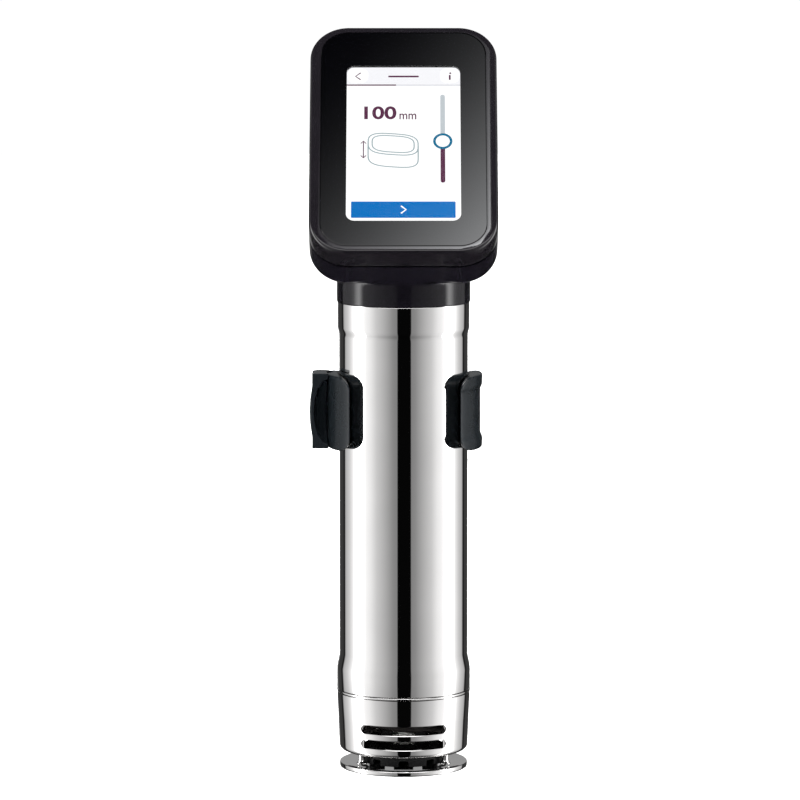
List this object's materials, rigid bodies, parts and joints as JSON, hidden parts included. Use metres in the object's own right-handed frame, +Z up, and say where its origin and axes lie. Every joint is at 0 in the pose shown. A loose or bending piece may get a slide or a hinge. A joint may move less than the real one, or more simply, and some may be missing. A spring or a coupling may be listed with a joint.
{
  "type": "sous vide circulator",
  "caption": "Immersion circulator: polished steel tube with slotted skirt and base plate, tilted touch screen head, and a sliding screw clamp with a release lever.",
  "frame": {"origin": "middle of the base plate's flat underside, on the tube's axis", "axes": "+Z up along the tube, the screen faces -Y, and +X is to the right seen from the screen side"},
  "size_m": [0.0929, 0.1743, 0.3672],
  "materials": {
    "polished_steel": "mirror polished stainless steel",
    "plain_steel": "plain stainless steel",
    "aluminium": "bare aluminium",
    "brass": "turned brass",
    "gloss_black": "glossy black plastic",
    "satin_black": "satin black plastic",
    "clamp_black": "satin blue-black glass-filled plastic",
    "cover_glass": "black printed cover glass with a clear window",
    "screen": "lit colour display",
    "circuit_board": "green solder mask",
    "inner_black": "black moulded plastic",
    "rubber": "black rubber",
    "impeller_white": "white acetal"
  },
  "bodies": {
    "housing": {"bezel": "gloss_black", "cover_glass": "cover_glass", "display_panel": "screen", "display_board": "circuit_board", "main_board": "circuit_board", "head_seal": "rubber", "heat_sink": "aluminium", "relay": "inner_black", "capacitor": "inner_black", "rear_housing": "satin_black", "head_screw_1": "plain_steel", "head_screw_2": "plain_steel", "head_screw_3": "plain_steel", "head_screw_4": "plain_steel", "button_switch": "inner_black", "vent_grille": "satin_black", "cord_gland": "rubber", "steel_tube": "polished_steel", "seam_ring": "polished_steel", "bulkhead": "plain_steel", "bulkhead_seal": "rubber", "shaft_seal": "rubber", "heater_coil": "plain_steel", "temperature_probe": "plain_steel", "level_probe_low": "plain_steel", "level_probe_high": "plain_steel", "pump_cage": "inner_black", "lower_bearing": "plain_steel", "upper_bearing": "plain_steel", "motor_plate": "aluminium", "motor": "plain_steel", "tie_rod_1": "plain_steel", "tie_rod_2": "plain_steel", "tie_rod_3": "plain_steel"},
    "rotor": {"impeller": "impeller_white", "pump_shaft": "plain_steel", "shaft_coupler": "aluminium", "motor_shaft": "plain_steel", "cooling_fan": "inner_black"},
    "skirt_unit": {"skirt": "polished_steel", "base_plate": "polished_steel", "base_post_1": "polished_steel", "base_post_2": "polished_steel", "base_post_3": "polished_steel", "inlet_guard": "inner_black"},
    "button": {"power_button": "gloss_black"},
    "clamp": {"clamp_collar": "clamp_black", "clamp_bracket": "clamp_black", "bracket_screw_1": "plain_steel", "bracket_screw_2": "plain_steel", "jaw_pad": "rubber", "screw_bush": "brass", "lever_pin": "plain_steel"},
    "lever": {"clamp_lever": "clamp_black"},
    "pad": {"pressure_pad": "clamp_black", "pad_face": "rubber"},
    "screw": {"clamp_spindle": "plain_steel", "clamp_knob": "clamp_black"}
  },
  "joints": [
    {"name": "clamp_slide", "type": "slide", "parent": "housing", "child": "clamp", "axis": [0, 0, 1], "range_m": [-0.1, 0.012]},
    {"name": "lever_hinge", "type": "hinge", "parent": "clamp", "child": "lever", "pos_m": [-0.0407, 0.0035, 0.1795], "axis": [0, 0, -1], "range_deg": [0, 60]},
    {"name": "pad_slide", "type": "slide", "parent": "clamp", "child": "pad", "axis": [0, -1, 0], "range_m": [0, 0.018]},
    {"name": "spindle_turn", "type": "hinge", "parent": "pad", "child": "screw", "pos_m": [0, 0.09, 0.143], "axis": [0, -1, 0], "range_deg": [0, 2160]},
    {"name": "pump_spin", "type": "hinge", "parent": "housing", "child": "rotor", "pos_m": [0, 0, 0.05], "axis": [0, 0, 1], "continuous": true},
    {"name": "skirt_pull", "type": "slide", "parent": "housing", "child": "skirt_unit", "axis": [0, 0, -1], "range_m": [0, 0.045]},
    {"name": "power_press", "type": "slide", "parent": "housing", "child": "button", "axis": [0, -0.766, 0.6428], "range_m": [0, 0.0015], "stiffness_N_per_m": 800, "springref_m": -0.0005}
  ],
  "couplings": [
    {"joint": "spindle_turn", "follows": "pad_slide", "rad_per_m": 2094.4}
  ]
}
